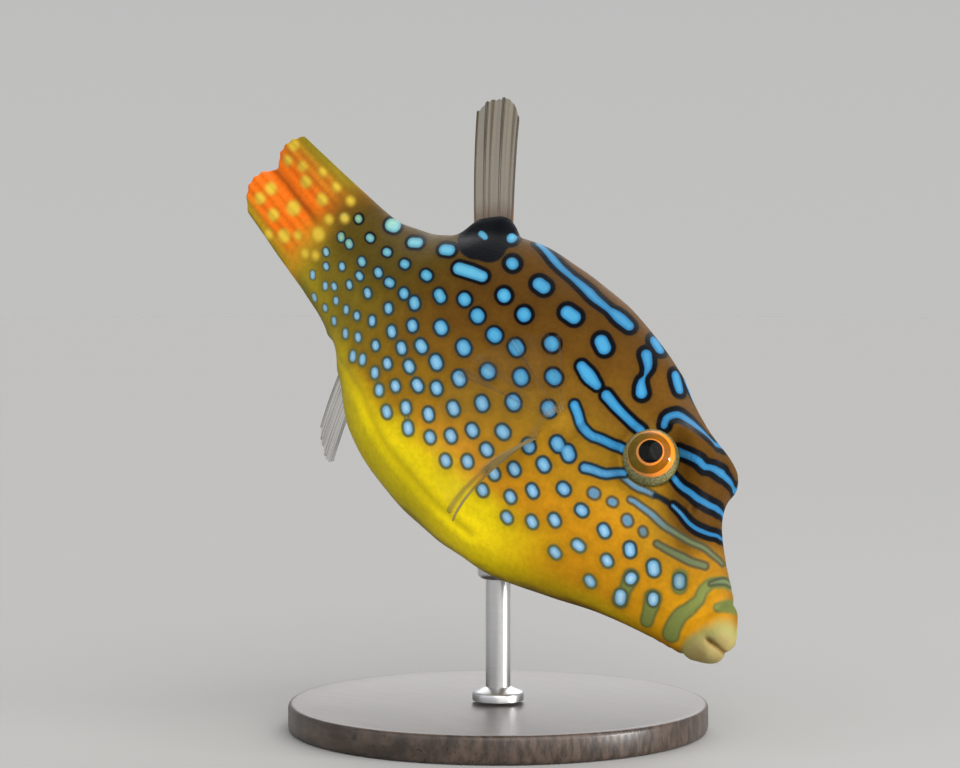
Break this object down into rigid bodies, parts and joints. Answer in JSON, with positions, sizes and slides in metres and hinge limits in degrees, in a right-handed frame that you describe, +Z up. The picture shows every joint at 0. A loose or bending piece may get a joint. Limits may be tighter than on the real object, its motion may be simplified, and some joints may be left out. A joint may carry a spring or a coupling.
{
  "type": "spotted sharpnose puffer model",
  "caption": "Life-size still model of a small blue-spotted sharpnose puffer, swimming nose down, held by a rod over a round flat base.",
  "frame": {"origin": "centre of the stand's round underside, on the surface it stands on", "axes": "+Z up, +X the way the fish's head points seen from above, the fish's left side towards +Y"},
  "size_m": [0.0765, 0.044, 0.068],
  "materials": {
    "skin": "moist satin skin, brown-orange above and yellow below, with ringed blue spots",
    "lips": "smooth moist cream lips",
    "tail_fin": "ribbed orange-red fin web with yellow spots",
    "clear_fin": "thin see-through fin web with brown rays",
    "eye": "wet clear eye over an orange-ringed iris",
    "base": "dark stained wood, satin lacquer",
    "rod": "brushed rod and collar"
  },
  "bodies": {
    "root": {"lip_upper": "lips", "lip_lower": "lips", "snout": "skin", "head": "skin", "trunk": "skin", "tail_stalk": "skin", "caudal_fin": "tail_fin", "dorsal_fin": "clear_fin", "anal_fin": "clear_fin", "pectoral_fin_right": "clear_fin", "pectoral_fin_left": "clear_fin", "eye_right": "eye", "eye_left": "eye", "stand_base": "base", "stand_rod": "rod", "stand_collar": "rod"}
  },
  "joints": []
}
